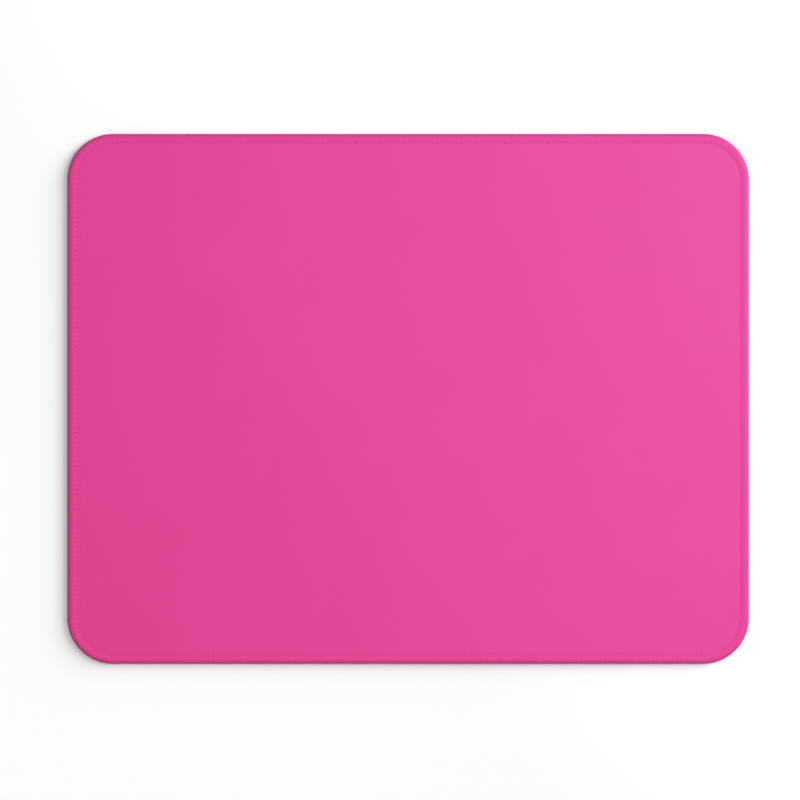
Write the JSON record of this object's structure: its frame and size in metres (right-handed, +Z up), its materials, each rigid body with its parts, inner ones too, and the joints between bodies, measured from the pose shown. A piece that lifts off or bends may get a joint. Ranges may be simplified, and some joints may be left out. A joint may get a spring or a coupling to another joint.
{
  "type": "mouse pad",
  "caption": "Flat rounded-rectangle desk pad with a smooth cloth top, foam rubber core, grooved rubber underside and overlocked edge.",
  "frame": {"origin": "on the table under the middle of the pad", "axes": "+X along the long side, +Y along the short side towards the back of the desk, +Z up out of the cloth"},
  "size_m": [0.2286, 0.1778, 0.0032],
  "materials": {
    "cloth": "fine knitted polyester, brushed smooth, soft sheen",
    "thread": "bulky polyester sewing thread, matt",
    "adhesive_film": "thin hot-melt adhesive film, satin",
    "foam_rubber": "fine closed-cell foam rubber, matt",
    "grip_rubber": "moulded grooves and fine grain, matt"
  },
  "bodies": {
    "root": {"grip_base": "grip_rubber", "foam_core": "foam_rubber", "bond_film": "adhesive_film", "surface_cloth": "cloth", "upper_looper_thread": "thread", "lower_looper_thread": "thread", "needle_thread": "thread"}
  },
  "joints": []
}
